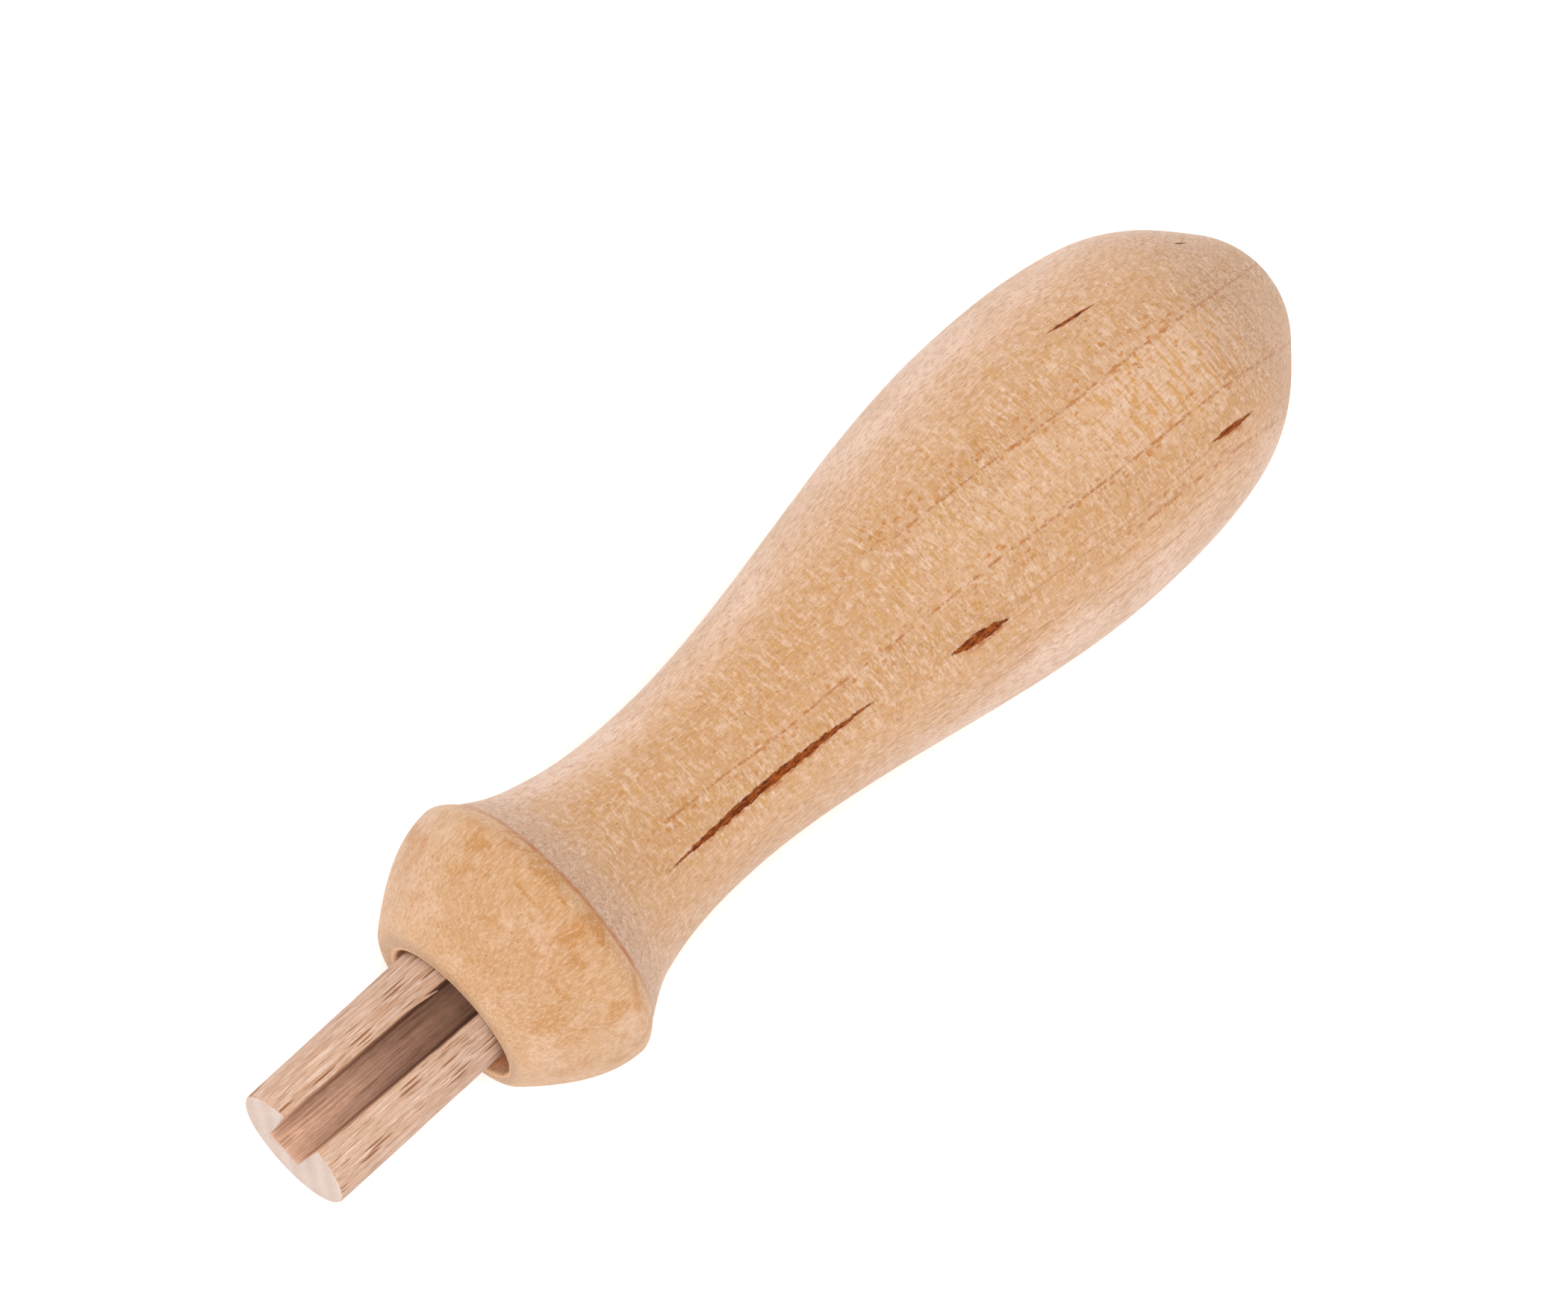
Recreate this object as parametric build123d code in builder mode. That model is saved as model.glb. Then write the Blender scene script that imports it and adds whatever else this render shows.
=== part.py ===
from build123d import *
from math import atan, cos, degrees, radians, sin, tan
import os

# A turned wooden tool handle and the slotted dowel that stands in its bore.
# The handle lies along X. The origin is the centre of its mouth, the dowel comes out towards +X,
# and the dowel's slot opens towards +Z. Millimetres.

# Turned outline of the handle. X values are distances behind the mouth, slopes are radius per length.
HANDLE_LENGTH = 97.6
MOUTH_FACE_R = 8.0
LIP_X, LIP_R, LIP_SLOPE = 0.6, 9.25, 0.82
BEAD_X, BEAD_R = 10.25, 13.8
CREASE_X, CREASE_R = 12.2, 12.65
CREASE_SLOPE_BEAD = -0.87
CREASE_SLOPE_COVE = -0.69
COVE_X, COVE_R, COVE_SLOPE = 16.2, 10.5, -0.33
NECK_X, NECK_R = 28.1, 8.9
BULB_X, BULB_R = 71.5, 14.6
SHOULDER_X, SHOULDER_R, SHOULDER_SLOPE = 84.2, 13.4, -0.24
FLANK_X, FLANK_R, FLANK_SLOPE = 91.2, 10.1, -0.78
BUTT_CAP_R = 9.2
BUTT_CAP_ANGLE = 43.0

# Dowel, standard 12 mm stock with one groove along it
DOWEL_R = 6.0
DOWEL_LENGTH = 45.0
DOWEL_OUT = 18.5
END_CHAMFER = 0.4
SLOT_WIDTH = 4.0
SLOT_DEPTH = 8.3
SLOT_TIP_OFFSET = -0.75

# Bore, a sliding fit for the dowel, opened out at the mouth a little off the axis
DOWEL_CLEARANCE = 0.05
BORE_SPARE = 1.0
DRILL_POINT_ANGLE = 118.0
MOUTH_BORE_R = 7.0
MOUTH_BORE_DEPTH = 10.0
MOUTH_BORE_OFFSET = 0.5
RIM_ROUND = 0.3

BORE_R = DOWEL_R + DOWEL_CLEARANCE
BORE_DEPTH = DOWEL_LENGTH + BORE_SPARE
DRILL_POINT_LENGTH = BORE_R / tan(radians(DRILL_POINT_ANGLE / 2))
SLOT_SKEW = degrees(atan(SLOT_TIP_OFFSET / DOWEL_OUT))
SLOT_FLOOR_Z = DOWEL_R - SLOT_DEPTH

# The lathe's half plane: its x runs from the mouth back to the butt, its y is the radius
TURNING_PLANE = Plane(origin=(0, 0, 0), x_dir=(-1, 0, 0), z_dir=(0, 0, -1))


def turned_curve(start, end):
    """Control points of the cubic curve between two (distance, radius, slope) stations."""
    x0, r0, slope0 = start
    x1, r1, slope1 = end
    third = (x1 - x0) / 3
    return (x0, r0), (x0 + third, r0 + slope0 * third), (x1 - third, r1 - slope1 * third), (x1, r1)


def draw_handle_outline():
    """Closed half outline of the handle, from the mouth's face round to the butt's tip."""
    lip = (LIP_X, LIP_R, LIP_SLOPE)
    bead = (BEAD_X, BEAD_R, 0)
    crease_bead_side = (CREASE_X, CREASE_R, CREASE_SLOPE_BEAD)
    crease_cove_side = (CREASE_X, CREASE_R, CREASE_SLOPE_COVE)
    cove = (COVE_X, COVE_R, COVE_SLOPE)
    neck = (NECK_X, NECK_R, 0)
    bulb = (BULB_X, BULB_R, 0)
    shoulder = (SHOULDER_X, SHOULDER_R, SHOULDER_SLOPE)
    flank = (FLANK_X, FLANK_R, FLANK_SLOPE)
    cap_centre_x = HANDLE_LENGTH - BUTT_CAP_R
    cap_start = (
        cap_centre_x + BUTT_CAP_R * cos(radians(BUTT_CAP_ANGLE)),
        BUTT_CAP_R * sin(radians(BUTT_CAP_ANGLE)),
        -1 / tan(radians(BUTT_CAP_ANGLE)),
    )
    Line((0, 0), (0, MOUTH_FACE_R))
    Bezier((0, MOUTH_FACE_R), (0, LIP_R - LIP_SLOPE * LIP_X), (LIP_X, LIP_R))
    Bezier(*turned_curve(lip, bead))
    Bezier(*turned_curve(bead, crease_bead_side))
    Bezier(*turned_curve(crease_cove_side, cove))
    Bezier(*turned_curve(cove, neck))
    Bezier(*turned_curve(neck, bulb))
    Bezier(*turned_curve(bulb, shoulder))
    Bezier(*turned_curve(shoulder, flank))
    Bezier(*turned_curve(flank, cap_start))
    CenterArc((cap_centre_x, 0), BUTT_CAP_R, 0, BUTT_CAP_ANGLE)
    Line((HANDLE_LENGTH, 0), (0, 0))


# Turned handle: bead, cove and neck, bulb and butt in one piece of wood, with a blind bore
with BuildPart() as turned_handle:
    with BuildSketch(TURNING_PLANE):
        with BuildLine():
            draw_handle_outline()
        make_face()
    revolve(axis=Axis.X)
    with BuildSketch(TURNING_PLANE):
        with BuildLine():
            Polyline(
                (0, 0),
                (0, BORE_R),
                (BORE_DEPTH, BORE_R),
                (BORE_DEPTH + DRILL_POINT_LENGTH, 0),
                close=True,
            )
        make_face()
    revolve(axis=Axis.X, mode=Mode.SUBTRACT)
    with BuildSketch(Plane.YZ):
        with Locations((MOUTH_BORE_OFFSET, 0)):
            Circle(MOUTH_BORE_R)
    extrude(amount=-MOUTH_BORE_DEPTH, mode=Mode.SUBTRACT)
    rim = turned_handle.edges().group_by(Axis.X)[-1].sort_by(SortBy.LENGTH)[0]
    fillet(rim, RIM_ROUND)

# Slotted dowel: one groove along its whole length, cut slightly askew
with BuildPart() as slotted_dowel:
    with BuildSketch(Plane.YZ.offset(DOWEL_OUT)):
        Circle(DOWEL_R)
    extrude(amount=-DOWEL_LENGTH)
    ends = slotted_dowel.edges().filter_by(GeomType.CIRCLE)
    chamfer(ends, END_CHAMFER)
    slot_direction = (cos(radians(SLOT_SKEW)), sin(radians(SLOT_SKEW)), 0)
    with BuildSketch(Plane(origin=(0, 0, SLOT_FLOOR_Z), x_dir=slot_direction, z_dir=(0, 0, 1))):
        Rectangle(3 * DOWEL_LENGTH, SLOT_WIDTH)
    extrude(amount=2 * SLOT_DEPTH, mode=Mode.SUBTRACT)

turned_handle.part.label = "turned_handle"
slotted_dowel.part.label = "slotted_dowel"

os.makedirs("parts", exist_ok=True)
export_step(turned_handle.part, "parts/turned_handle.step")
export_step(slotted_dowel.part, "parts/slotted_dowel.step")
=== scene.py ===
import math
import random
from types import SimpleNamespace

import bpy
from mathutils import Matrix, Vector


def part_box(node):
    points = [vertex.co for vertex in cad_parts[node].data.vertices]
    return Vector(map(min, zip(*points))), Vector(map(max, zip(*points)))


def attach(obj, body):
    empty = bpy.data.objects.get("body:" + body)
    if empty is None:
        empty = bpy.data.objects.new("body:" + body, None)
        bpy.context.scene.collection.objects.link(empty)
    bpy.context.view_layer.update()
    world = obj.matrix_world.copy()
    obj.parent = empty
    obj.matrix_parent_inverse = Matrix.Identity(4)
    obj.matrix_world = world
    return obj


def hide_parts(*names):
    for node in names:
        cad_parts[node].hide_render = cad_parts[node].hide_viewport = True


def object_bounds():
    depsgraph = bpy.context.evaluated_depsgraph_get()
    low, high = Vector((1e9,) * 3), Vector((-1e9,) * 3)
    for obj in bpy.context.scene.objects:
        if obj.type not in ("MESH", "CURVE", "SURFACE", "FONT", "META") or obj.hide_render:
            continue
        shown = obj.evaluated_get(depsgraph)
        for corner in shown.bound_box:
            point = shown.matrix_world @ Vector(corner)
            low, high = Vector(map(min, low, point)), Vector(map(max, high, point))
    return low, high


# A turned maple tool handle and the slotted beech dowel that stands in its bore.
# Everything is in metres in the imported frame: the handle lies along X with its mouth at the origin,
# the dowel comes out towards +X, and the dowel's slot opens towards +Z.

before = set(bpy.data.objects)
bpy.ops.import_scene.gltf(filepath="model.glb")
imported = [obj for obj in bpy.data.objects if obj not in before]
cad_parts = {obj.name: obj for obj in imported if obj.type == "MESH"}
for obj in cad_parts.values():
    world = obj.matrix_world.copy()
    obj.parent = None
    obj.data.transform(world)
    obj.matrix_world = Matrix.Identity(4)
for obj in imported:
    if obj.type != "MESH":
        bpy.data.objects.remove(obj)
CAD_LOW, CAD_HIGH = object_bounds()
MM = 0.001

# ---------------------------------------------------------------------------------------------
# Named sizes, in millimetres. Distances along the handle run backwards from the mouth.
# ---------------------------------------------------------------------------------------------
HANDLE_LOW, HANDLE_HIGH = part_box("turned_handle")
DOWEL_LOW, DOWEL_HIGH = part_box("slotted_dowel")
HANDLE_LENGTH = (HANDLE_HIGH[0] - HANDLE_LOW[0]) / MM
DOWEL_TIP_X = DOWEL_HIGH[0] / MM
DOWEL_FOOT_X = DOWEL_LOW[0] / MM
DOWEL_R = (DOWEL_HIGH[1] - DOWEL_LOW[1]) / 2 / MM

# Stations of the turned outline: (distance behind the mouth, radius, slope of the radius)
LIP = (0.6, 9.25, 0.82)
BEAD = (10.25, 13.8, 0.0)
CREASE_BEAD_SIDE = (12.2, 12.65, -0.87)
CREASE_COVE_SIDE = (12.2, 12.65, -0.69)
COVE = (16.2, 10.5, -0.33)
NECK = (28.1, 8.9, 0.0)
BULB = (71.5, 14.6, 0.0)
SHOULDER = (84.2, 13.4, -0.24)
FLANK = (91.2, 10.1, -0.78)
# The butt ends in a round cap, and the mouth in a flat face
BUTT_CAP_R = 9.2
BUTT_CAP_ANGLE = math.radians(43.0)
MOUTH_FACE_R = 8.0

# The bead was turned a little off the axis of the grip, and the mouth drilled further off still
BEAD_OFFSET = 0.19
BEAD_OFFSET_FADE = (12.0, 17.0)
MOUTH_OFFSET = 0.64
MOUTH_BORE_R = 6.96
MOUTH_BORE_DEPTH = 10.0
RIM_ROUND = 0.28
INNER_BORE_R = 6.3
INNER_BORE_DEPTH = 46.0
DRILL_POINT = 3.6
CREASE_CUT = 0.035
CREASE_CUT_WIDTH = 0.28
UNEVEN_TURNING = 0.02
RIM_FRAY = 0.07
RING_POINTS = 288

# The dowel stands a fraction of a degree askew, and its slot is a little askew in it
DOWEL_SHIFT = 0.13
DOWEL_LEAN = 0.12 / 18.5
SLOT_SHIFT = 0.17
SLOT_LEAN = -0.48 / 18.5
SLOT_HALF_TOP = 2.02
SLOT_HALF_FLOOR = 1.72
SLOT_FLOOR_Z = -2.3
SLOT_CORNER = 0.25
END_ROUND = 0.38
# Wear of each arris: everywhere, more or less of it along the dowel, and extra at the tip
LEFT_WEAR = (0.17, 0.08, 0.30)
RIGHT_WEAR = (0.14, 0.05, 0.22)
TIP_WEAR_LENGTH = 1.6
# Wear reaches this much further down the slot's wall than round the dowel
WALL_WEAR = 1.4
SKIN_FLUTTER = 0.012

# An edge that turns more sharply than this is shaded as an edge
SHARP_ANGLE = math.radians(38)


# ---------------------------------------------------------------------------------------------
# Small geometry helpers
# ---------------------------------------------------------------------------------------------
def wobble(seed, *wavelengths):
    """A smooth repeatable random function of one number, between about -1 and 1."""
    chance = random.Random(seed)
    waves = [(2 * math.pi / w, chance.uniform(0, 2 * math.pi)) for w in wavelengths]
    return lambda v: sum(math.sin(k * v + phase) for k, phase in waves) / len(waves)


def station_curve(start, end, x):
    """Radius at x on the cubic curve between two (distance, radius, slope) stations."""
    x0, r0, slope0 = start
    x1, r1, slope1 = end
    length = x1 - x0
    t = (x - x0) / length
    return (
        (2 * t**3 - 3 * t**2 + 1) * r0
        + (t**3 - 2 * t**2 + t) * length * slope0
        + (-2 * t**3 + 3 * t**2) * r1
        + (t**3 - t**2) * length * slope1
    )


def fade(x, start, end):
    """0 before start, 1 after end, smooth between."""
    t = min(1.0, max(0.0, (x - start) / (end - start)))
    return t * t * (3 - 2 * t)


def new_piece(name, points, faces, layers, material):
    """A mesh object from points in millimetres, with named point attributes and smooth shading."""
    mesh = bpy.data.meshes.new(name)
    mesh.from_pydata([(x * MM, y * MM, z * MM) for x, y, z in points], [], faces)
    mesh.validate()
    for layer, values in layers.items():
        mesh.attributes.new(layer, "FLOAT", "POINT").data.foreach_set("value", values)
    mesh.polygons.foreach_set("use_smooth", [True] * len(mesh.polygons))
    mesh.set_sharp_from_angle(angle=SHARP_ANGLE)
    mesh.materials.append(material)
    piece = bpy.data.objects.new(name, mesh)
    bpy.context.scene.collection.objects.link(piece)
    return piece


# ---------------------------------------------------------------------------------------------
# Handle
# ---------------------------------------------------------------------------------------------
def outer_rings():
    """(distance, radius, slope, off-centre) of each turned ring, from the butt to the mouth."""
    rings = []
    cap_centre = HANDLE_LENGTH - BUTT_CAP_R
    cap_steps = 26
    for i in range(1, cap_steps + 1):
        angle = BUTT_CAP_ANGLE * i / cap_steps
        x = cap_centre + BUTT_CAP_R * math.cos(angle)
        rings.append((x, BUTT_CAP_R * math.sin(angle), -1 / math.tan(angle)))
    cap_start = (
        cap_centre + BUTT_CAP_R * math.cos(BUTT_CAP_ANGLE),
        BUTT_CAP_R * math.sin(BUTT_CAP_ANGLE),
        -1 / math.tan(BUTT_CAP_ANGLE),
    )
    spans = (
        (FLANK, cap_start, 0.25),
        (SHOULDER, FLANK, 0.35),
        (BULB, SHOULDER, 0.45),
        (NECK, BULB, 0.45),
        (COVE, NECK, 0.35),
        (CREASE_COVE_SIDE, COVE, 0.16),
        (BEAD, CREASE_BEAD_SIDE, 0.08),
        (LIP, BEAD, 0.3),
    )
    nearby = 0.01
    for start, end, step in spans:
        count = max(2, round((end[0] - start[0]) / step))
        for i in range(1, count + 1):
            x = end[0] + (start[0] - end[0]) * i / count
            rise = station_curve(start, end, x + nearby) - station_curve(start, end, x - nearby)
            cut = CREASE_CUT * math.exp(-(((x - CREASE_COVE_SIDE[0]) / CREASE_CUT_WIDTH) ** 2))
            rings.append((x, station_curve(start, end, x) - cut, rise / (2 * nearby)))
    control_r = LIP[1] - LIP[2] * LIP[0]
    lip_steps = 8
    lip_slope = 1.2
    for i in range(1, lip_steps + 1):
        t = 1 - i / lip_steps
        x = LIP[0] * t * t
        r = MOUTH_FACE_R * (1 - t) ** 2 + control_r * 2 * t * (1 - t) + LIP[1] * t * t
        rings.append((x, r, lip_slope))
    return [(x, r, slope, BEAD_OFFSET * (1 - fade(x, *BEAD_OFFSET_FADE))) for x, r, slope in rings]


def inner_rings():
    """(distance, radius, off-centre, rim share) of each ring of the bore, from the mouth to its foot."""
    rings = []
    # Flat face of the mouth, then the rounded rim and the wide part of the bore
    for i in (1, 2, 3):
        t = i / 4
        r = MOUTH_FACE_R + (MOUTH_BORE_R + RIM_ROUND - MOUTH_FACE_R) * t
        rings.append((0.0, r, BEAD_OFFSET + (MOUTH_OFFSET - BEAD_OFFSET) * t, 0.0))
    for i in range(7):
        angle = math.pi / 2 * i / 6
        x = RIM_ROUND * (1 - math.cos(angle))
        r = MOUTH_BORE_R + RIM_ROUND * (1 - math.sin(angle))
        rings.append((x, r, MOUTH_OFFSET, 1.0))
    for x in (0.5, 0.8, 1.2, 1.8, 2.6, 3.6, 5.0, 6.5, 8.0, 9.2, 9.8):
        rings.append((x, MOUTH_BORE_R, MOUTH_OFFSET, max(0.0, 1 - x / 2)))
    # The step down to the inner bore, with its edges broken, and the drill's point at the foot
    rings.append((MOUTH_BORE_DEPTH, MOUTH_BORE_R - 0.15, MOUTH_OFFSET * 0.8, 0.0))
    rings.append((MOUTH_BORE_DEPTH + 0.1, INNER_BORE_R + 0.1, 0.05, 0.0))
    for x in (10.3, 12, 16, 20, 25, 30, 35, 40, 44, INNER_BORE_DEPTH):
        rings.append((x, INNER_BORE_R, 0.0, 0.0))
    for t in (0.25, 0.5, 0.75, 0.95):
        rings.append((INNER_BORE_DEPTH + DRILL_POINT * t, INNER_BORE_R * (1 - t), 0.0, 0.0))
    return rings


def make_handle(material):
    """One closed skin: butt, bulb, neck, cove, crease, bead, lip, rim and the blind bore."""
    bore_end_grain = 0.6
    along = wobble(11, 17.0, 9.5, 31.0)
    around = wobble(12, math.pi * 2, math.pi, math.pi * 2 / 3)
    fray = wobble(13, 0.37, 0.21, 0.13, 0.082)
    points = [(-HANDLE_LENGTH, 0.0, 0.0)]
    quarter, endgrain, bore, rim_edge = [1.0], [1.0], [0.0], [0.0]
    angles = [2 * math.pi * j / RING_POINTS for j in range(RING_POINTS)]
    for x, r, slope, offset in outer_rings():
        for angle in angles:
            uneven = UNEVEN_TURNING * along(x + 4 * angle / math.pi) * fade(x, 2.0, 8.0) * around(angle)
            radius = r + uneven * min(1.0, r / 8)
            points.append((-x, offset + radius * math.sin(angle), radius * math.cos(angle)))
            quarter.append(abs(math.cos(angle)))
            endgrain.append(min(1.0, max(0.0, -slope)))
            bore.append(0.0)
            rim_edge.append(0.0)
    for x, r, offset, rim in inner_rings():
        for angle in angles:
            # The rim is most frayed on the side towards +Y
            frayed_side = 0.25 + 0.75 * max(0.0, math.sin(angle)) ** 2
            radius = r + rim * frayed_side * RIM_FRAY * fray(angle + 0.13 * x)
            points.append((-x, offset + radius * math.sin(angle), radius * math.cos(angle)))
            quarter.append(abs(math.cos(angle)))
            endgrain.append(bore_end_grain)
            bore.append(fade(x, 0.1, 0.9))
            # The rim band, which the material lifts with painted light
            rim_edge.append(rim * (1 - fade(x, 0.4, 1.5)))
    points.append((-(INNER_BORE_DEPTH + DRILL_POINT), 0.0, 0.0))
    for values, last in ((quarter, 1.0), (endgrain, bore_end_grain), (bore, 1.0), (rim_edge, 0.0)):
        values.append(last)

    rows = (len(points) - 2) // RING_POINTS
    foot = len(points) - 1
    faces = []
    for j in range(RING_POINTS):
        k = (j + 1) % RING_POINTS
        faces.append((0, 1 + k, 1 + j))
        last_row = 1 + (rows - 1) * RING_POINTS
        faces.append((foot, last_row + j, last_row + k))
        for i in range(rows - 1):
            a = 1 + i * RING_POINTS
            b = a + RING_POINTS
            faces.append((a + j, a + k, b + k, b + j))
    layers = {"quarter": quarter, "endgrain": endgrain, "bore": bore, "rim_edge": rim_edge}
    return new_piece("handle_turned", points, faces, layers, material)


# ---------------------------------------------------------------------------------------------
# Dowel
# ---------------------------------------------------------------------------------------------
ARC_STEPS = 116
ARRIS_STEPS = 7
WALL_STEPS = 16
CORNER_STEPS = 4
FLOOR_STEPS = 12


def bend(start, corner, end, steps):
    """Points of the quadratic curve from start to end that is pulled towards corner."""
    made = []
    for i in range(steps):
        t = i / steps
        made.append(
            tuple((1 - t) ** 2 * a + 2 * t * (1 - t) * b + t * t * c for a, b, c in zip(start, corner, end))
        )
    return made


def lerp(a, b, t):
    """The point a share t of the way from a to b."""
    return tuple(p + (q - p) * t for p, q in zip(a, b))


def dowel_section(radius, centre, slot, half_top, half_floor, floor_z, worn_left, worn_right):
    """Closed outline (y, z) of the slotted section, and how far each point is inside the slot."""
    right_y, left_y = slot + half_top, slot - half_top
    right_angle = math.asin((right_y - centre) / radius)
    left_angle = math.asin((left_y - centre) / radius)
    right_top = (right_y, radius * math.cos(right_angle))
    left_top = (left_y, radius * math.cos(left_angle))
    right_foot = (slot + half_floor, floor_z)
    left_foot = (slot - half_floor, floor_z)
    start = right_angle + worn_right / radius
    end = 2 * math.pi + left_angle - worn_left / radius
    outline, inside = [], []
    for i in range(ARC_STEPS):
        angle = start + (end - start) * i / ARC_STEPS
        outline.append((centre + radius * math.sin(angle), radius * math.cos(angle)))
        inside.append(0.0)
    left_depth = math.dist(left_top, left_foot)
    right_depth = math.dist(right_top, right_foot)
    arc_end = (centre + radius * math.sin(end), radius * math.cos(end))
    wall_start = lerp(left_top, left_foot, WALL_WEAR * worn_left / left_depth)
    outline += bend(arc_end, left_top, wall_start, ARRIS_STEPS)
    inside += [i / ARRIS_STEPS for i in range(ARRIS_STEPS)]
    wall_end = lerp(left_foot, left_top, SLOT_CORNER / left_depth)
    outline += [lerp(wall_start, wall_end, i / WALL_STEPS) for i in range(WALL_STEPS)]
    floor_start = lerp(left_foot, right_foot, SLOT_CORNER / (2 * half_floor))
    floor_end = lerp(right_foot, left_foot, SLOT_CORNER / (2 * half_floor))
    outline += bend(wall_end, left_foot, floor_start, CORNER_STEPS)
    outline += [lerp(floor_start, floor_end, i / FLOOR_STEPS) for i in range(FLOOR_STEPS)]
    wall_start = lerp(right_foot, right_top, SLOT_CORNER / right_depth)
    wall_end = lerp(right_top, right_foot, WALL_WEAR * worn_right / right_depth)
    outline += bend(floor_end, right_foot, wall_start, CORNER_STEPS)
    outline += [lerp(wall_start, wall_end, i / WALL_STEPS) for i in range(WALL_STEPS)]
    inside += [1.0] * (2 * WALL_STEPS + 2 * CORNER_STEPS + FLOOR_STEPS)
    arc_start = (centre + radius * math.sin(start), radius * math.cos(start))
    outline += bend(wall_end, right_top, arc_start, ARRIS_STEPS)
    inside += [1 - i / ARRIS_STEPS for i in range(ARRIS_STEPS)]
    return outline, inside


def dowel_stations():
    """X of each section, closer together at both ends."""
    ends = [0.0, 0.015, 0.05, 0.11, 0.18, 0.27, 0.38, 0.6]
    length = DOWEL_TIP_X - DOWEL_FOOT_X
    middle = [0.9 + 0.3 * i for i in range(int((length - 1.8) / 0.3) + 1)]
    return [DOWEL_TIP_X - v for v in ends + middle + [length - e for e in reversed(ends)]]


def make_dowel(material):
    """The slotted dowel with its worn, wavy arrises, rounded ends and one lifted splinter."""
    left_wave = wobble(21, 4.3, 2.1, 7.7, 1.1)
    right_wave = wobble(22, 5.2, 2.6, 9.1, 1.3)
    floor_wave = wobble(23, 6.0, 3.1, 1.4)
    skin_wave = wobble(24, 2.1, 1.3, 0.9)
    points = []
    layers = {"slot": [], "cut_end": [], "arris": []}
    stations = dowel_stations()
    for x in stations:
        to_end = min(DOWEL_TIP_X - x, x - DOWEL_FOOT_X)
        sunk = max(0.0, 1 - to_end / END_ROUND)
        end_cut = END_ROUND * (1 - math.sqrt(max(0.0, 1 - sunk * sunk)))
        at_tip = fade(DOWEL_TIP_X - x, TIP_WEAR_LENGTH, 0.0)
        centre = DOWEL_SHIFT + DOWEL_LEAN * x
        slot = SLOT_SHIFT + SLOT_LEAN * x + 0.025 * left_wave(x * 1.3)
        worn_left = LEFT_WEAR[0] + LEFT_WEAR[1] * left_wave(x) + LEFT_WEAR[2] * at_tip
        worn_right = RIGHT_WEAR[0] + RIGHT_WEAR[1] * right_wave(x) + RIGHT_WEAR[2] * at_tip
        outline, inside = dowel_section(
            DOWEL_R - 0.9 * end_cut,
            centre,
            slot,
            SLOT_HALF_TOP + 0.03 * right_wave(x * 0.7) + 0.25 * end_cut,
            SLOT_HALF_FLOOR + 0.03 * floor_wave(x) + 0.25 * end_cut,
            SLOT_FLOOR_Z + 0.05 * floor_wave(x * 0.8) - 0.25 * end_cut,
            worn_left,
            worn_right,
        )
        for (y, z), share in zip(outline, inside):
            flutter = SKIN_FLUTTER * skin_wave(3 * math.atan2(y, z) * DOWEL_R) * (1 - share)
            points.append((x, y * (1 + flutter / DOWEL_R), z * (1 + flutter / DOWEL_R)))
            layers["slot"].append(share)
            layers["cut_end"].append(fade(to_end, 0.3, 0.02))
            layers["arris"].append(4 * share * (1 - share))
    count = len(outline)
    faces = []
    for i in range(len(stations) - 1):
        a = i * count
        b = a + count
        for j in range(count):
            k = (j + 1) % count
            faces.append((a + j, b + j, b + k, a + k))
    faces.append(tuple(range(count)))
    last_section = (len(stations) - 1) * count
    faces.append(tuple(reversed(range(last_section, last_section + count))))
    section_points = len(points)
    add_splinter(points, faces)
    splinter = {"slot": 0.0, "cut_end": 0.0, "arris": 0.3}
    for layer, value in splinter.items():
        layers[layer] += [value] * (len(points) - section_points)
    return new_piece("dowel_slotted", points, faces, layers, material)


def add_splinter(points, faces):
    """A thin sliver torn up from the left arris just outside the mouth, leaning over the slot."""
    foot_x, tip_x = 4.1, 0.9
    arris_z = 5.58
    root = len(points)
    steps = 14
    sides = 6
    for i in range(steps):
        t = i / (steps - 1)
        x = foot_x + (tip_x - foot_x) * t
        slot = SLOT_SHIFT + SLOT_LEAN * x
        y = slot - SLOT_HALF_TOP - 0.12 + 0.42 * t**1.5
        z = arris_z - 0.1 * t + 0.16 * math.sin(math.pi * t)
        half_wide = 0.02 + 0.11 * math.sin(math.pi * min(1.0, 0.12 + 0.86 * t)) ** 0.8
        half_thick = 0.03 + 0.05 * math.sin(math.pi * min(1.0, 0.1 + 0.88 * t))
        for j in range(sides):
            angle = 2 * math.pi * j / sides
            points.append((x, y + half_wide * math.cos(angle), z + half_thick * math.sin(angle)))
    for i in range(steps - 1):
        a = root + i * sides
        for j in range(sides):
            k = (j + 1) % sides
            faces.append((a + j, a + k, a + sides + k, a + sides + j))
    faces.append(tuple(root + j for j in reversed(range(sides))))
    last = root + (steps - 1) * sides
    faces.append(tuple(last + j for j in range(sides)))


# ---------------------------------------------------------------------------------------------
# Material tools
# ---------------------------------------------------------------------------------------------
# How much brighter than its own colour a surface shows under the studio light
LIGHT_LEVEL = 1.78


def seen_as(red, green, blue):
    """The surface colour that shows as this display colour (0 to 255) under the studio light."""
    linear = []
    for value in (red, green, blue):
        c = value / 255
        c = c / 12.92 if c <= 0.04045 else ((c + 0.055) / 1.055) ** 2.4
        linear.append(c / LIGHT_LEVEL)
    return (*linear, 1.0)


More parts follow.
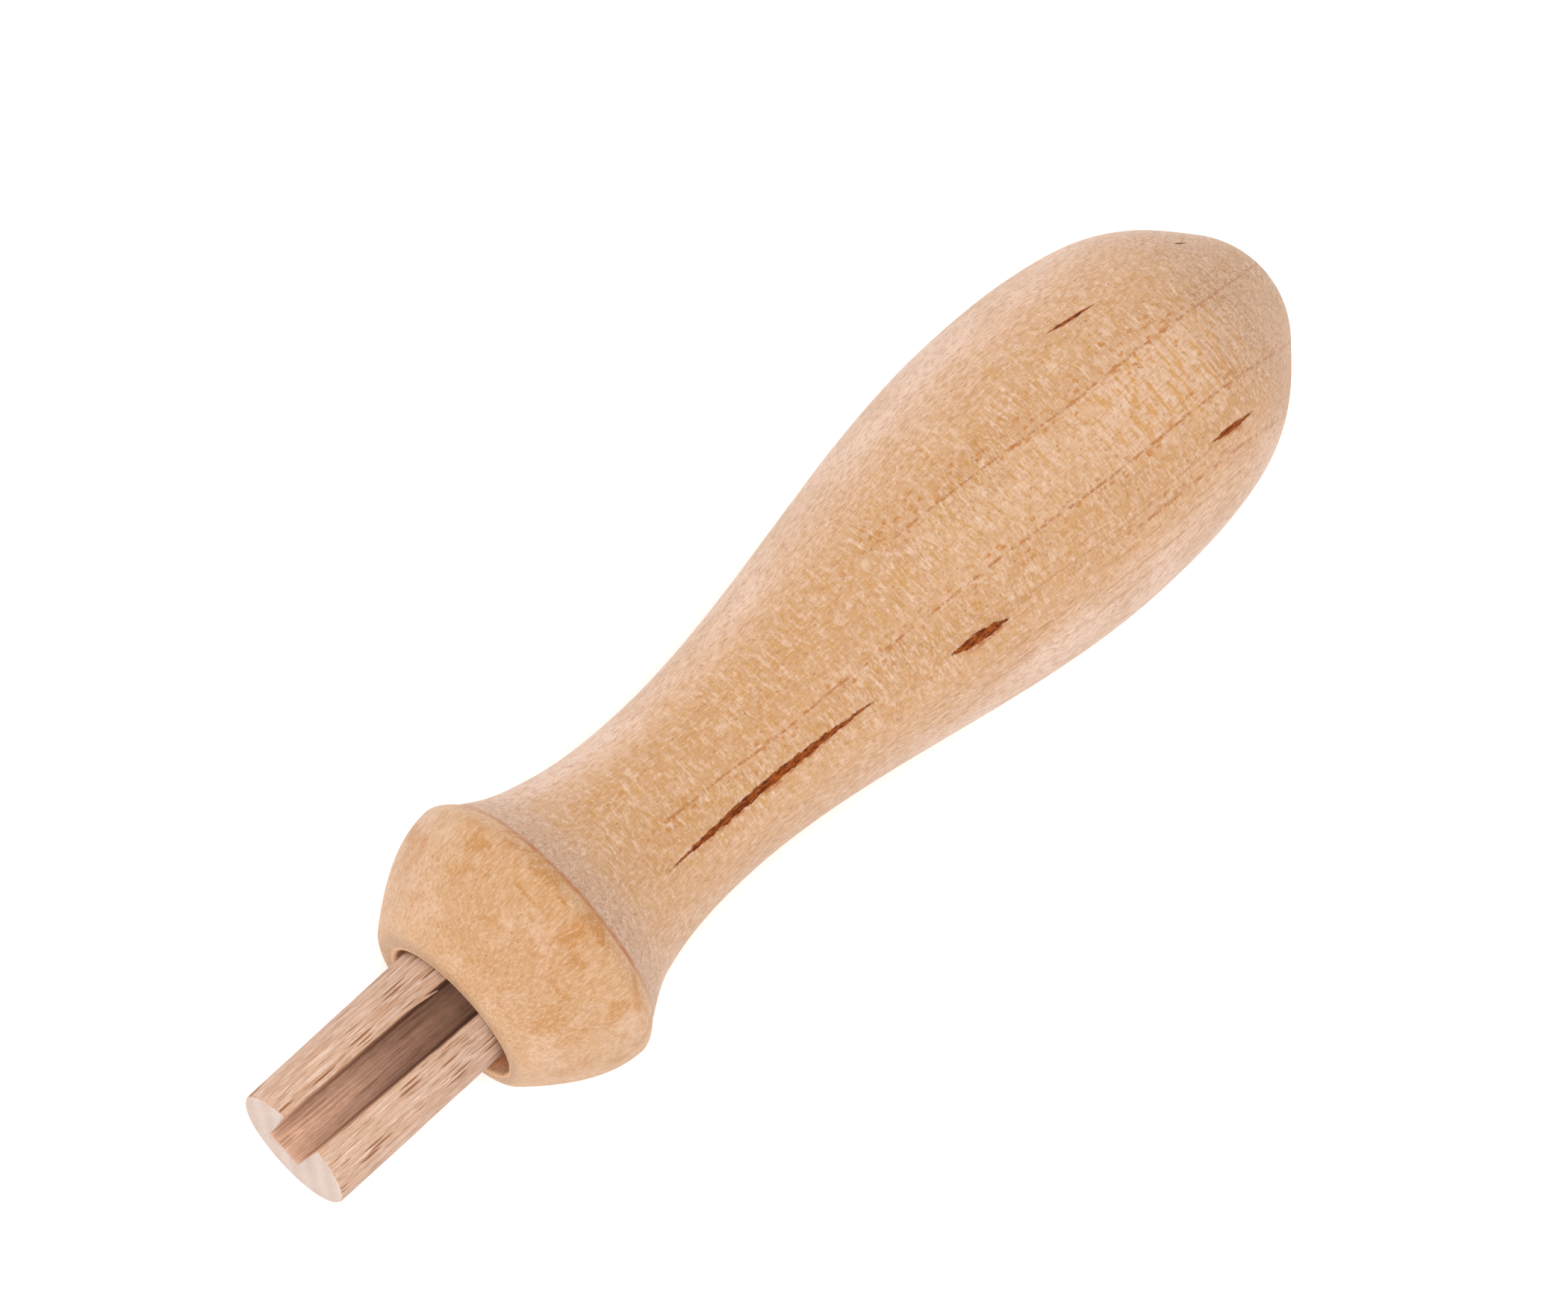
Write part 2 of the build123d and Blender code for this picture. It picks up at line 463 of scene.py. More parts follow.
class Nodes:
    """Adds the nodes of one material, painted from a palette of display colours, and joins them."""

    def __init__(self, name, palette):
        self.palette = palette
        self.material = bpy.data.materials.new(name)
        self.material.use_nodes = True
        self.tree = self.material.node_tree
        self.shader = next(n for n in self.tree.nodes if n.type == "BSDF_PRINCIPLED")

    def add(self, kind, **settings):
        node = self.tree.nodes.new(kind)
        for name, value in settings.items():
            setattr(node, name, value)
        return node

    def put(self, socket, value):
        if isinstance(value, bpy.types.NodeSocket):
            self.tree.links.new(value, socket)
        elif value is not None:
            socket.default_value = value

    def math(self, operation, a, b=None, c=None):
        node = self.add("ShaderNodeMath", operation=operation)
        for socket, value in zip(node.inputs, (a, b, c)):
            self.put(socket, value)
        return node.outputs[0]

    def total(self, *values):
        result = values[0]
        for value in values[1:]:
            result = self.math("ADD", result, value)
        return result

    def times(self, *values):
        result = values[0]
        for value in values[1:]:
            result = self.math("MULTIPLY", result, value)
        return result

    def point_mm(self):
        node = self.add("ShaderNodeTexCoord")
        return self.stretch(node.outputs["Object"], 1000, 1000, 1000)

    def stretch(self, vector, x, y, z):
        node = self.add("ShaderNodeVectorMath", operation="MULTIPLY")
        self.put(node.inputs[0], vector)
        node.inputs[1].default_value = (x, y, z)
        return node.outputs[0]

    def shift(self, vector, x, y, z):
        node = self.add("ShaderNodeVectorMath", operation="ADD")
        self.put(node.inputs[0], vector)
        node.inputs[1].default_value = (x, y, z)
        return node.outputs[0]

    def axes(self, vector):
        node = self.add("ShaderNodeSeparateXYZ")
        self.put(node.inputs[0], vector)
        return node.outputs[0], node.outputs[1], node.outputs[2]

    def point(self, x, y, z):
        node = self.add("ShaderNodeCombineXYZ")
        for socket, value in zip(node.inputs, (x, y, z)):
            self.put(socket, value)
        return node.outputs[0]

    def attribute(self, name):
        return self.add("ShaderNodeAttribute", attribute_name=name).outputs["Fac"]

    def noise(self, vector, detail, roughness, distortion=0.0, scale=1.0):
        node = self.add("ShaderNodeTexNoise")
        self.put(node.inputs["Vector"], vector)
        node.inputs["Scale"].default_value = scale
        node.inputs["Detail"].default_value = detail
        node.inputs["Roughness"].default_value = roughness
        node.inputs["Distortion"].default_value = distortion
        return node.outputs[0]

    def figure(self, point, fineness, detail, roughness, start=None, distortion=0.0):
        """Noise with this fineness along x, y and z (waves per mm), begun at its own place."""
        place = self.shift(point, *start) if start else point
        return self.noise(self.stretch(place, *fineness), detail, roughness, distortion)

    def cells(self, point, fineness, start=None):
        """Distance to the nearest of scattered points, and that point's own random number."""
        place = self.shift(point, *start) if start else point
        node = self.add("ShaderNodeTexVoronoi")
        self.put(node.inputs["Vector"], self.stretch(place, *fineness))
        node.inputs["Scale"].default_value = 1.0
        node.inputs["Randomness"].default_value = 1.0
        return node.outputs["Distance"], self.axes(node.outputs["Color"])[0]

    def band(self, value, low, high, out_low=0.0, out_high=1.0):
        """Smooth step of value from low to high."""
        node = self.add("ShaderNodeMapRange", interpolation_type="SMOOTHSTEP")
        for socket, number in zip(node.inputs, (value, low, high, out_low, out_high)):
            self.put(socket, number)
        return node.outputs[0]

    def mix(self, share, under, over):
        node = self.add("ShaderNodeMix", data_type="RGBA")
        self.put(node.inputs[0], share)
        self.put(node.inputs[6], under)
        self.put(node.inputs[7], over)
        return node.outputs[2]

    def blend(self, share, first, second):
        """From one palette colour to another."""
        return self.mix(share, seen_as(*self.palette[first]), seen_as(*self.palette[second]))

    def paint(self, under, name, share):
        """Covers what is under with this share of a palette colour."""
        return self.mix(share, under, seen_as(*self.palette[name]))

    def tone(self, colour, factor):
        node = self.add("ShaderNodeVectorMath", operation="SCALE")
        self.put(node.inputs[0], colour)
        self.put(node.inputs["Scale"], factor)
        return node.outputs[0]

    def bump(self, height, depth_mm):
        node = self.add("ShaderNodeBump")
        node.inputs["Strength"].default_value = 1.0
        node.inputs["Distance"].default_value = depth_mm * MM
        self.put(node.inputs["Height"], height)
        return node.outputs[0]


# ---------------------------------------------------------------------------------------------
# Maple of the handle
# ---------------------------------------------------------------------------------------------
# Display colours; a value past 255 makes up for the shade that its place lies in
MAPLE = {
    "face": (207, 157, 105),
    # Paler sides: partly the plain-sawn wood's own tone, partly painted sheen for the bright grazing light
    # there
    "side": (243, 206, 183),
    "low_flank": (212, 160, 108),
    "patch": (212, 162, 114),
    "ring_band": (222, 180, 142),
    "pale_ring": (230, 188, 150),
    "bead": (218, 168, 116),
    "bead_cloud": (202, 136, 60),
    "bead_glow": (238, 196, 164),
    # Painted light on the lip, lifting the shade beside the dowel
    "lip": (234, 188, 146),
    "mottle": (206, 152, 96),
    "blush": (230, 192, 168),
    "amber_ray": (208, 154, 76),
    "pale_ray": (236, 200, 172),
    "quilt": (238, 202, 178),
    "quilt_ray": (214, 156, 80),
    "face_fibre": (204, 148, 88),
    "long_fibre": (190, 134, 80),
    "side_fibre": (182, 136, 98),
    "amber_dot": (196, 122, 36),
    "thread": (184, 108, 30),
    "end_grain": (212, 177, 154),
    "end_grain_dark": (166, 124, 96),
    "combed": (178, 128, 86),
    "grain_dark": (184, 130, 76),
    "grain_light": (248, 214, 186),
    "speck": (150, 104, 66),
    "rust": (182, 96, 30),
    "gum_dark": (96, 30, 0),
    "gum_light": (168, 84, 22),
    # A line of painted shade along the crease
    "crease_painted_shade": (186, 108, 46),
    # Painted light: the shaded bore wall near the mouth, lifted past its own colour
    "bore_dark_painted_light": (268, 176, 116),
    "bore_pale_painted_light": (300, 222, 168),
    "bore_deep": (176, 104, 60),
    # Painted light on the shaded rim of the bore
    "rim_painted_light": (272, 214, 164),
}
MAPLE_RELIEF = 0.15
MAPLE_IOR = 1.40
SPECULAR = 0.5
SHEEN = 0.06
SHEEN_ROUGHNESS = 0.5

# Growth lines: places across the grain (mm from the axis at the mouth), and how far behind the
# mouth each one comes to the surface; they drift sideways with the length because the blank was
# sawn slightly across the grain
GROWTH_LINES = ((-8.05, 46.0), (-1.0, 14.0), (3.8, 62.0))
GRAIN_DRIFT = 0.075

# Gum streaks on the handle's top: (from, to: mm behind the mouth; middle: mm off the axis;
# slant: mm sideways per mm; bow: mm at the ends; half width: mm)
GUM_STREAKS = (
    (20.0, 44.6, 4.20, 0.040, 0.46, 0.40),
    (51.2, 57.4, 7.05, 0.150, 0.00, 0.46),
    (76.0, 81.6, -7.95, 0.170, 0.00, 0.17),
    (80.6, 86.0, 8.25, 0.070, 0.00, 0.26),
    (91.3, 92.7, -6.45, 0.600, 0.00, 0.13),
)


def maple_places(n):
    """Where a point of the handle lies, as the distances (mm) and shares that the layers use."""
    at = SimpleNamespace(point=n.point_mm())
    at.x, at.y, at.z = n.axes(at.point)
    at.behind = n.math("MULTIPLY", at.x, -1.0)
    at.quarter = n.attribute("quarter")
    at.bore = n.attribute("bore")
    at.rim_edge = n.attribute("rim_edge")
    at.face = n.band(at.quarter, 0.45, 0.92)
    at.side = n.band(at.quarter, 0.80, 0.30)
    at.on_bead = n.band(at.behind, 12.55, 12.0)
    at.off_bead = n.math("SUBTRACT", 1.0, at.on_bead)
    end_grain = n.band(n.attribute("endgrain"), 0.10, 0.75)
    at.grey = n.times(end_grain, at.off_bead, n.band(at.quarter, 0.1, 0.8, 0.4, 1.0))

    # Place across the growth rings, with a slow natural wander, and distance to the nearest line
    wander = n.math("SUBTRACT", n.figure(at.point, (0.045, 0.03, 0.03), 3.0, 0.5), 0.5)
    at.ring = n.total(at.y, n.times(at.x, GRAIN_DRIFT), n.times(wander, 1.3))
    at.nearest = 99.0
    for line, seen_from in GROWTH_LINES:
        away = n.math("ABSOLUTE", n.math("SUBTRACT", at.ring, line))
        away = n.total(away, n.band(at.behind, seen_from + 9.0, seen_from, 0.0, 2.5))
        at.nearest = n.math("MINIMUM", at.nearest, away)

    # The ring beside the first line is pale on the bulb, and quilted towards the butt
    first = GROWTH_LINES[0][0]
    pale = n.times(n.band(at.ring, first - 0.1, first + 0.1), n.band(at.ring, 1.0, -2.5))
    at.pale_ring = n.times(pale, n.band(at.behind, 45.0, 60.0))
    at.quilt = n.times(at.pale_ring, n.band(at.behind, 68.0, 77.0), n.band(at.behind, 95.0, 88.0), at.face)
    ray_area = n.figure(at.point, (0.11, 0.16, 0.16), 2.0, 0.5, start=(5, 15, 1))
    at.ray_area = n.times(at.face, n.band(ray_area, 0.36, 0.60, 0.55, 1.0), at.off_bead)
    return at


def maple_figures(n, at):
    """Adds to the places the figures that both colour and relief, or several layers, share."""
    at.dots = n.figure(at.point, (1.7, 2.6, 2.6), 3.0, 0.6, start=(2, 9, 4))
    at.broken = n.figure(at.point, (1.1, 0.3, 0.3), 4.0, 0.8, start=(8, 2, 6))
    at.dashes = n.figure(at.point, (0.9, 6.5, 6.5), 3.0, 0.7)
    at.dense = n.figure(at.point, (2.0, 4.2, 4.2), 3.0, 0.75, start=(1, 2, 3))
    less_on_bead = n.band(at.on_bead, 0.0, 1.0, 1.0, 0.3)
    at.thread = n.times(n.band(at.nearest, 0.20, 0.03), n.band(at.broken, 0.40, 0.58), less_on_bead)

    # Fine grain: across the handle near the growth lines of the face, along it elsewhere
    across = n.figure(at.point, (5.2, 1.8, 1.8), 3.0, 0.75)
    along = n.figure(at.point, (1.2, 4.0, 4.0), 3.0, 0.75, start=(6, 6, 6))
    turned = n.times(at.ray_area, n.band(at.nearest, 5.0, 2.0, 0.35, 0.9))
    at.grain = n.total(n.times(across, turned), n.times(along, n.math("SUBTRACT", 1.0, turned)))


def maple_ground(n, at):
    """Ground colour: pinker at the sides, and paler there, partly the plain-sawn wood's own tone and partly
    painted sheen for the bright grazing light; with slow patches and bands along the rings.
    """
    # The sides are paler partly in their own tone and partly by painted sheen
    colour = n.blend(at.face, "side", "face")
    low_flank = n.times(n.band(at.y, 2.5, 7.0), n.band(at.y, 12.0, 9.0))
    colour = n.paint(colour, "low_flank", n.times(low_flank, 0.7))
    patches = n.figure(at.point, (0.13, 0.19, 0.19), 2.0, 0.5)
    colour = n.paint(colour, "patch", n.band(patches, 0.36, 0.66, 0.0, 0.55))
    bands = n.noise(n.point(n.times(at.x, 0.02), n.times(at.ring, 0.42), 3.0), 3.0, 0.6)
    colour = n.paint(colour, "ring_band", n.band(bands, 0.40, 0.66, 0.0, 0.5))
    return n.paint(colour, "pale_ring", n.times(at.pale_ring, 0.4))


def paint_bead(n, at, colour):
    """The bead is smoother and yellower, with amber clouds, and painted light on its lip, which lies in
    shade beside the dowel.
    """
    colour = n.paint(colour, "bead", n.times(at.on_bead, 0.75))
    clouds = n.figure(at.point, (0.34, 0.24, 0.24), 4.0, 0.62, start=(9, 3, 5), distortion=0.5)
    near_crease = n.band(at.behind, 3.0, 10.0, 0.45, 1.0)
    clouds = n.times(at.on_bead, near_crease, n.band(clouds, 0.46, 0.60, 0.0, 0.95))
    colour = n.paint(colour, "bead_cloud", clouds)
    glow = n.figure(at.point, (0.22, 0.30, 0.30), 3.0, 0.6, start=(19, 13, 5))
    colour = n.paint(colour, "bead_glow", n.times(at.on_bead, n.band(glow, 0.50, 0.68, 0.0, 0.55)))
    # Painted light on the lip, lifting the shade beside the dowel
    return n.paint(colour, "lip", n.band(at.behind, 2.6, 0.2, 0.0, 0.5))


def paint_mottle(n, at, colour):
    """Spots of amber and blush a millimetre or so wide, fainter on the bead."""
    mottle = n.figure(at.point, (1.2, 1.1, 1.1), 3.0, 0.65, start=(31, 7, 2))
    less_at_sides = n.band(at.quarter, 0.2, 0.9, 0.15, 0.42)
    less_on_bead = n.band(at.on_bead, 0.0, 1.0, 1.0, 0.35)
    colour = n.paint(colour, "mottle", n.times(n.band(mottle, 0.46, 0.66), less_at_sides, less_on_bead))
    blush = n.figure(at.point, (1.3, 1.5, 1.5), 2.0, 0.6, start=(3, 47, 12))
    less_on_bead = n.band(at.on_bead, 0.0, 1.0, 1.0, 0.4)
    return n.paint(colour, "blush", n.times(n.band(blush, 0.50, 0.68, 0.0, 0.4), less_on_bead))


def paint_rays(n, at, colour):
    """Ray flecks across the grain on the quarter-sawn face, and the quilted patch."""
    rays = n.figure(at.point, (2.6, 0.5, 0.5), 3.0, 0.65)
    colour = n.paint(colour, "amber_ray", n.times(at.ray_area, n.band(rays, 0.52, 0.61, 0.0, 0.8)))
    pale = n.figure(at.point, (2.2, 0.6, 0.6), 3.0, 0.65, start=(50, 3, 8))
    colour = n.paint(colour, "pale_ray", n.times(at.ray_area, n.band(pale, 0.51, 0.62, 0.0, 0.75)))
    colour = n.paint(colour, "quilt", n.times(at.quilt, 0.40))
    cross = n.figure(at.point, (2.6, 0.5, 0.5), 2.0, 0.5, start=(4, 4, 1))
    colour = n.paint(colour, "quilt_ray", n.times(at.quilt, n.band(cross, 0.49, 0.60, 0.0, 0.85)))
    fibres = n.figure(at.point, (0.5, 3.6, 3.6), 3.0, 0.6)
    share = n.total(n.times(at.ray_area, 0.45), n.times(at.quilt, 0.3))
    return n.paint(colour, "face_fibre", n.times(share, n.band(fibres, 0.53, 0.64)))


def paint_growth_lines(n, at, colour):
    """Amber dots and dark threads along the growth lines, and long fibres beside the lowest."""
    first = GROWTH_LINES[0][0]
    dots_reach = n.band(at.ring, first, first - 0.1, 1.6, 3.4)
    near_line = n.band(at.nearest, dots_reach, 0.1)
    spot, chance = n.cells(at.point, (1.0, 1.45, 1.45), start=(1, 6, 2))
    chosen = n.band(n.math("SUBTRACT", near_line, chance), -0.25, 0.10)
    spot = n.times(n.band(spot, 0.46, 0.20), chosen)
    spot = n.times(at.face, at.off_bead, spot, n.band(at.dots, 0.40, 0.56, 0.15, 0.9))
    colour = n.paint(colour, "amber_dot", spot)
    colour = n.paint(colour, "thread", n.times(at.thread, n.band(at.quarter, 0.3, 0.8, 0.3, 0.9)))
    long_fibres = n.noise(n.point(n.times(at.x, 0.05), n.times(at.ring, 2.3), n.times(at.z, 0.4)), 3.0, 0.6)
    flank = n.times(n.band(at.ring, 0.5, 3.5), n.band(at.behind, 40.0, 60.0), n.band(at.quarter, 0.25, 0.6))
    return n.paint(colour, "long_fibre", n.times(flank, n.band(long_fibres, 0.53, 0.64, 0.0, 0.6)))


def paint_end_grain(n, at, colour):
    """Greyer end grain with a dense fine figure in the cove and on the butt, and combed rays."""
    colour = n.paint(colour, "end_grain", n.times(at.grey, n.band(at.behind, 60, 85, 0.78, 0.30)))
    colour = n.paint(colour, "end_grain_dark", n.times(at.grey, n.band(at.dense, 0.50, 0.66, 0.0, 0.80)))
    combed = n.figure(at.point, (3.2, 0.22, 0.22), 2.0, 0.5, start=(3, 1, 7))
    on_shoulder = n.times(n.band(at.behind, 80.0, 86.0), n.band(at.behind, 95.0, 91.0))
    combed = n.times(on_shoulder, n.band(at.ring, -11.0, -9.5), combed)
    combed = n.times(n.band(combed, 0.48, 0.60, 0.0, 0.36), n.band(at.ring, 0.5, -2.0))
    return n.paint(colour, "combed", combed)


def paint_fine_grain(n, at, colour):
    """Light and dark fine grain everywhere, fainter on the bead, and a few dark specks."""
    strength = n.band(at.on_bead, 0.0, 1.0, 1.0, 0.75)
    colour = n.paint(colour, "grain_dark", n.times(strength, n.band(at.grain, 0.50, 0.64, 0.0, 0.62)))
    colour = n.paint(colour, "grain_light", n.times(strength, n.band(at.grain, 0.48, 0.36, 0.0, 0.50)))
    specks, chance = n.cells(at.point, (1.2, 2.4, 2.4), start=(2, 8, 1))
    specks = n.times(n.band(specks, 0.26, 0.12), n.band(chance, 0.80, 0.90))
    return n.paint(colour, "speck", n.times(specks, 0.6))


def gum_streaks(n, at):
    """Shares of dark gum and of the rusty fringe beside it."""
    ragged = n.math("SUBTRACT", n.figure(at.point, (1.3, 3.2, 3.2), 4.0, 0.7), 0.5)
    top = n.band(at.z, 0.0, 1.0)
    dark, fringe = 0.0, 0.0
    for start, end, middle, slant, bow, half in GUM_STREAKS:
        centre = (start + end) / 2
        reach = (end - start) / 2
        run = n.math("SUBTRACT", at.behind, centre)
        place = n.math("DIVIDE", run, reach)
        square = n.math("MULTIPLY", place, place)
        line = n.total(n.times(run, slant), n.times(square, bow), middle)
        side = n.math("SUBTRACT", at.y, line)
        away = n.math("ABSOLUTE", n.math("MULTIPLY_ADD", ragged, half * 1.45, side))
        width = n.math("MULTIPLY_ADD", square, -half, half)
        depth = n.math("SUBTRACT", width, away)
        dark = n.math("MAXIMUM", dark, n.band(depth, -0.02, 0.09))
        outer = n.math("SUBTRACT", n.math("MULTIPLY", width, 1.9), n.math("SUBTRACT", away, 0.05))
        fringe = n.math("MAXIMUM", fringe, n.times(n.band(outer, 0.0, 0.35), n.band(side, -0.3, 0.3)))
    return n.times(dark, top), n.times(fringe, top)


def paint_gum_and_crease(n, at, colour, dark, fringe):
    """Gum streaks with their rusty fringe, and a line of painted shade along the crease."""
    colour = n.paint(colour, "rust", n.times(fringe, n.band(at.dots, 0.44, 0.56, 0.0, 0.85)))
    gum = n.figure(at.point, (1.4, 5.0, 5.0), 3.0, 0.65)
    gum = n.blend(n.band(gum, 0.38, 0.62), "gum_dark", "gum_light")
    colour = n.mix(n.times(dark, 0.97), colour, gum)
    # A line of painted shade along the crease, broken and fainter at the sides
    line = n.band(n.math("ABSOLUTE", n.math("SUBTRACT", at.behind, CREASE_COVE_SIDE[0])), 0.34, 0.05)
    less_at_sides = n.band(at.quarter, 0.35, 0.9, 0.15, 1.0)
    line = n.times(line, n.band(at.broken, 0.34, 0.60, 0.35, 0.95), less_at_sides)
    return n.paint(colour, "crease_painted_shade", line)


def paint_bore(n, at, colour):
    """Bore wall: orange-brown, lifted near the mouth by painted light past its own colour and darker deeper
    in, with a pale band of painted light along the frayed rim.
    """
    # Painted light lifts the shaded wall near the mouth past its own colour; deeper in it fades to its own
    # colour
    wall = n.blend(n.band(at.grain, 0.4, 0.6), "bore_dark_painted_light", "bore_pale_painted_light")
    wall = n.paint(wall, "bore_deep", n.band(at.behind, 2.0, 7.0))
    colour = n.mix(at.bore, colour, wall)
    # A pale band of painted light inside the frayed rim, which lies in shade
    return n.paint(colour, "rim_painted_light", n.times(at.rim_edge, n.band(at.dense, 0.4, 0.62, 0.6, 1.0)))


def maple():
    """Satin maple: quarter-sawn on top with ray flecks and growth lines, plain at the sides."""
    n = Nodes("maple_satin", MAPLE)
    at = maple_places(n)
    maple_figures(n, at)
    colour = maple_ground(n, at)
    for layer in (paint_bead, paint_mottle, paint_rays, paint_growth_lines):
        colour = layer(n, at, colour)
    colour = n.paint(colour, "side_fibre", n.times(at.side, n.band(at.dashes, 0.53, 0.70, 0.0, 0.6)))
    colour = paint_end_grain(n, at, colour)
    colour = paint_fine_grain(n, at, colour)
    dark, fringe = gum_streaks(n, at)
    colour = paint_gum_and_crease(n, at, colour, dark, fringe)
    colour = paint_bore(n, at, colour)
    rough = n.total(0.46, n.times(at.grain, 0.16), n.times(at.grey, 0.10), n.times(at.bore, 0.2))
    relief = n.total(
        n.times(at.grain, -1.0),
        n.times(at.side, at.dashes, -0.6),
        n.times(at.grey, at.dense, -0.8),
        n.times(at.thread, -0.3),
        n.times(dark, -0.35),
    )
    sockets = n.shader.inputs
    n.put(sockets["Base Color"], colour)
    n.put(sockets["Roughness"], rough)
    n.put(sockets["Normal"], n.bump(relief, MAPLE_RELIEF))
    # The gum shines less than the wood
    n.put(sockets["Specular IOR Level"], n.math("MULTIPLY_ADD", dark, -0.42, SPECULAR))
    n.put(sockets["Sheen Weight"], n.math("MULTIPLY_ADD", dark, -SHEEN, SHEEN))
    sockets["Sheen Roughness"].default_value = SHEEN_ROUGHNESS
    sockets["IOR"].default_value = MAPLE_IOR
    return n.material


# ---------------------------------------------------------------------------------------------
# Beech of the dowel
# ---------------------------------------------------------------------------------------------
BEECH = {
    "pale": (226, 188, 162),
    "dark": (208, 162, 130),
    "hair_dark": (178, 132, 102),
    "hair_pale": (244, 216, 198),
    # Painted shade near the mouth, where the handle shades the slot
    "slot_painted_shade": (172, 122, 95),
    "slot_tip": (242, 192, 162),
    "fleck": (150, 88, 34),
    "bruise": (226, 170, 122),
    "end_pale": (232, 210, 198),
    "end_dark": (226, 200, 186),
    "pore": (206, 168, 146),
}
BEECH_RELIEF = 0.08
BEECH_IOR = 1.42


def slot_with_painted_shade(n, x, z, slot_lines):
    """Colour in the slot: browner, with painted shade making it darker towards the mouth, where the handle
    shades it, and painted light making it paler up its walls, which lie in shade.
    """
    # Painted shade: darker towards the mouth, where the handle shades the slot
    colour = n.blend(n.band(x, -1.0, DOWEL_TIP_X - 2.0), "slot_painted_shade", "slot_tip")
    colour = n.tone(colour, n.band(slot_lines, 0.34, 0.64, 0.70, 1.22))
    # Painted light: paler up the walls, which lie in shade
    return n.tone(colour, n.band(z, SLOT_FLOOR_Z + 0.3, SLOT_FLOOR_Z + 1.8, 1.0, 1.2))


def ray_flecks(n, grain):
    """Dark spindles along the grain: large ones, and fainter small ones between them."""
    away, chance = n.cells(grain, (0.20, 2.4, 2.4))
    large = n.times(n.band(away, 0.36, 0.20), n.band(chance, 0.44, 0.54))
    away, chance = n.cells(grain, (0.45, 5.2, 5.2), start=(20, 4, 4))
    small = n.times(n.band(away, 0.32, 0.18), n.band(chance, 0.45, 0.55), 0.65)
    return n.math("MAXIMUM", large, small)


def sawn_end(n, point, y, z, bruise):
    """Colour of the sawn end: pale, with faint growth arcs and pores."""
    arcs = n.math("SINE", n.times(n.total(y, n.times(z, 0.45), n.times(bruise, 1.2)), 2.4))
    pores = n.figure(point, (0.5, 5.0, 5.0), 3.0, 0.7)
    colour = n.blend(n.band(arcs, -1.0, 1.0), "end_pale", "end_dark")
    return n.paint(colour, "pore", n.band(pores, 0.54, 0.70, 0.0, 0.45))


def beech():
    """Raw beech: pinkish, with dark ray flecks along the grain, and a browner sawn slot with painted shade
    towards the mouth and painted light up its walls.
    """
    n = Nodes("beech_raw", BEECH)
    point = n.point_mm()
    x, y, z = n.axes(point)
    slot = n.attribute("slot")
    cut_end = n.attribute("cut_end")
    arris = n.attribute("arris")
    skin = n.band(slot, 0.6, 0.1)
    inner = n.band(slot, 0.35, 0.8)

    # The grain runs almost along the dowel
    grain = n.point(x, n.total(y, n.times(x, 0.03)), z)
    streaks = n.figure(grain, (0.10, 2.4, 2.4), 4.0, 0.65)
    hair = n.figure(grain, (0.22, 7.5, 7.5), 3.0, 0.7, start=(4, 2, 9))
    pale_hair = n.figure(grain, (0.25, 5.5, 5.5), 3.0, 0.65, start=(14, 5, 3))
    slot_lines = n.figure(grain, (0.16, 5.0, 3.0), 4.0, 0.75, start=(7, 1, 1))
    bruise = n.figure(grain, (0.5, 2.0, 2.0), 3.0, 0.6)
    speckle = n.figure(point, (2.2, 5.5, 5.5), 3.0, 0.65)
    flecks = ray_flecks(n, grain)

    colour = n.blend(n.band(streaks, 0.36, 0.64), "pale", "dark")
    colour = n.paint(colour, "hair_dark", n.band(hair, 0.50, 0.66, 0.0, 0.85))
    colour = n.paint(colour, "hair_pale", n.band(pale_hair, 0.50, 0.68, 0.0, 0.9))
    colour = n.mix(n.times(inner, 0.94), colour, slot_with_painted_shade(n, x, z, slot_lines))
    share = n.times(flecks, n.band(slot, 0.2, 0.9, 0.92, 0.4), n.math("SUBTRACT", 1.0, cut_end))
    colour = n.paint(colour, "fleck", share)
    colour = n.paint(colour, "bruise", n.times(arris, n.band(bruise, 0.42, 0.62, 0.1, 0.7)))
    colour = n.mix(n.band(cut_end, 0.4, 0.9), colour, sawn_end(n, point, y, z, bruise))
    colour = n.tone(colour, n.total(0.80, n.times(speckle, 0.40)))

    relief = n.total(
        n.times(hair, skin, -0.8),
        n.times(streaks, 0.3),
        n.times(flecks, -0.25),
        n.times(slot_lines, inner, 1.2),
        n.times(speckle, 0.4),
    )
    sockets = n.shader.inputs
    n.put(sockets["Base Color"], colour)
    n.put(sockets["Roughness"], n.total(0.62, n.times(hair, 0.2)))
    n.put(sockets["Normal"], n.bump(relief, BEECH_RELIEF))
    sockets["IOR"].default_value = BEECH_IOR
    return n.material


# ---------------------------------------------------------------------------------------------
# Studio
# ---------------------------------------------------------------------------------------------
FLOOR_HALF = 4.0
PAPER_DARK = (0.93, 0.928, 0.93, 1)
PAPER_PALE = (0.95, 0.948, 0.95, 1)


def paper():
    """Plain pale studio paper with the faintest tooth."""
    n = Nodes("studio_paper", {})
    tooth = n.noise(n.point_mm(), 2.0, 0.5, scale=0.8)
    sockets = n.shader.inputs
    n.put(sockets["Base Color"], n.mix(tooth, PAPER_DARK, PAPER_PALE))
    sockets["Roughness"].default_value = 0.9
    sockets["Specular IOR Level"].default_value = 0.1
    return n.material


def make_floor():
    """A level sheet under the handle, at the CAD model's lowest point."""
    z = CAD_LOW[2] / MM
    half = FLOOR_HALF / MM
    cells = 8
    points, faces = [], []
    for i in range(cells + 1):
        for j in range(cells + 1):
            points.append((half * (2 * i / cells - 1), half * (2 * j / cells - 1), z))
    for i in range(cells):
        for j in range(cells):
            a = i * (cells + 1) + j
            faces.append((a, a + cells + 1, a + cells + 2, a + 1))
    floor = new_piece("floor_paper", points, faces, {}, paper())


